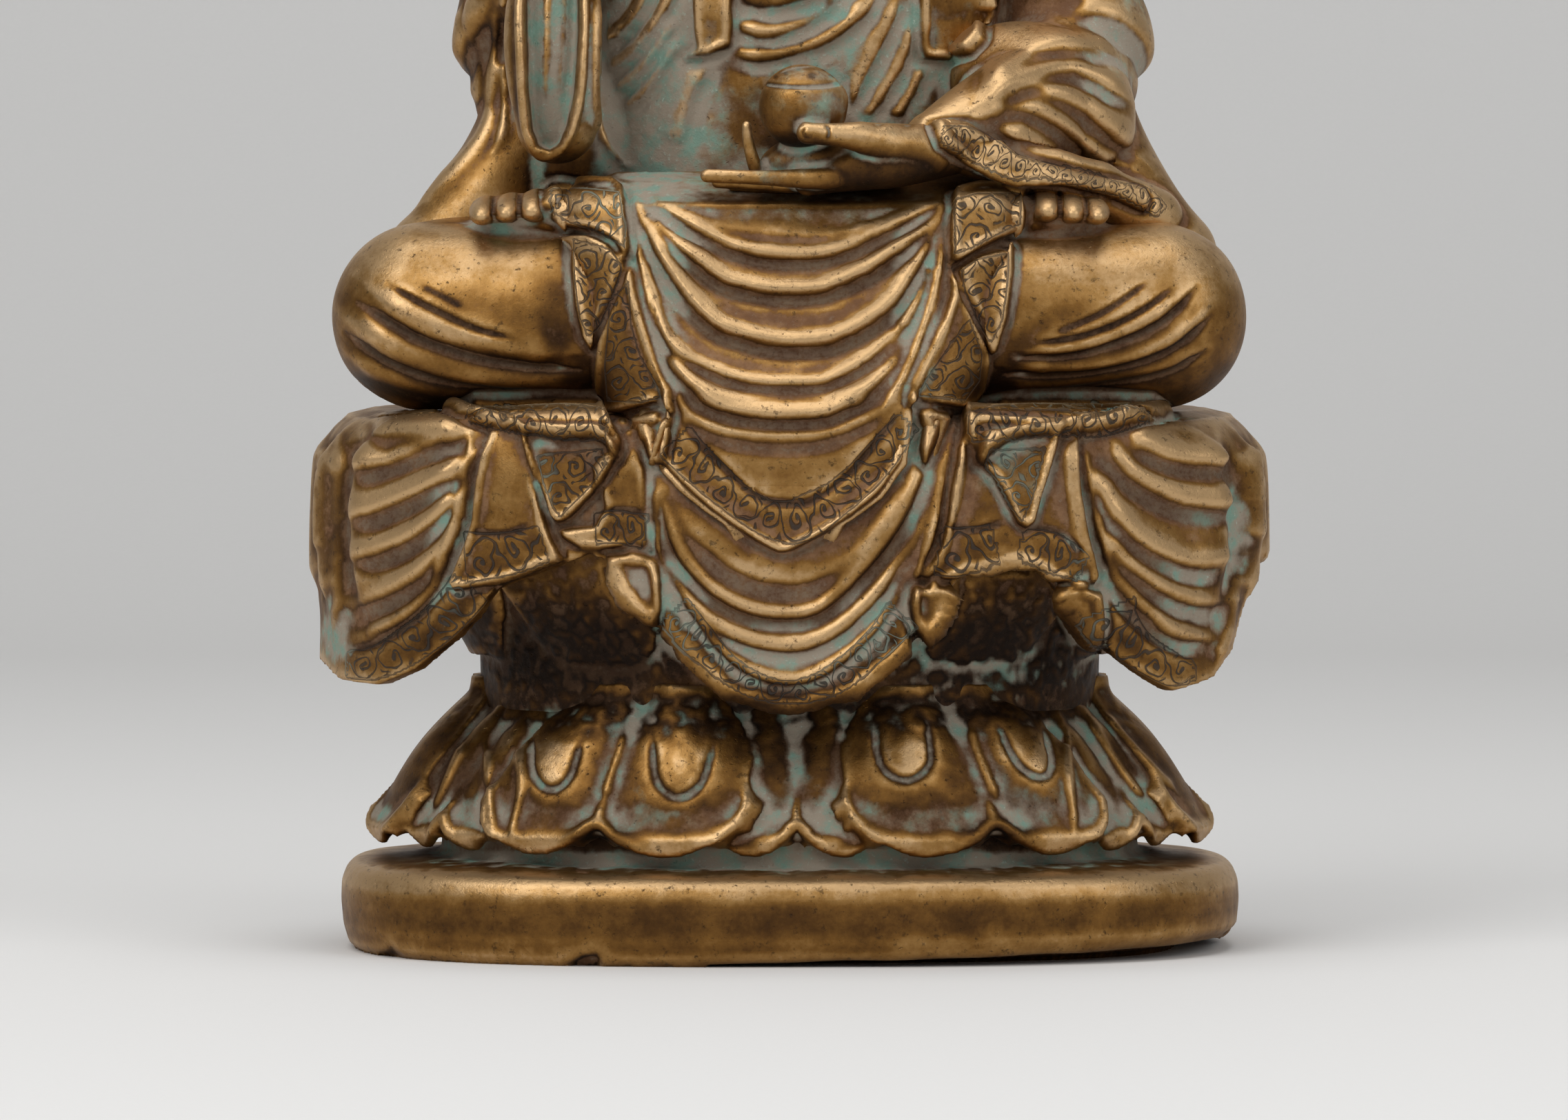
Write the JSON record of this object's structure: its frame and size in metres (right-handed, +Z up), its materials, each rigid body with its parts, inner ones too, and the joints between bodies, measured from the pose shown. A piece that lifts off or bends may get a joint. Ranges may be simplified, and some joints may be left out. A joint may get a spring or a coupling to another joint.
{
  "type": "seated monk statue",
  "caption": "Seated robed monk on a lotus throne, holding a round lidded pot in the lap with one hand raised, cast in copper alloy as one piece.",
  "frame": {"origin": "middle of the flat face that the plinth rests on", "axes": "+X to the viewer's right, which is the figure's left; +Y to the figure's back; +Z up"},
  "size_m": [0.1573, 0.1024, 0.2547],
  "materials": {
    "bronze": "cast copper alloy, polished brown on the raised parts, dull grey brown with green verdigris in the hollows"
  },
  "bodies": {
    "root": {"statue_casting": "bronze"}
  },
  "joints": []
}
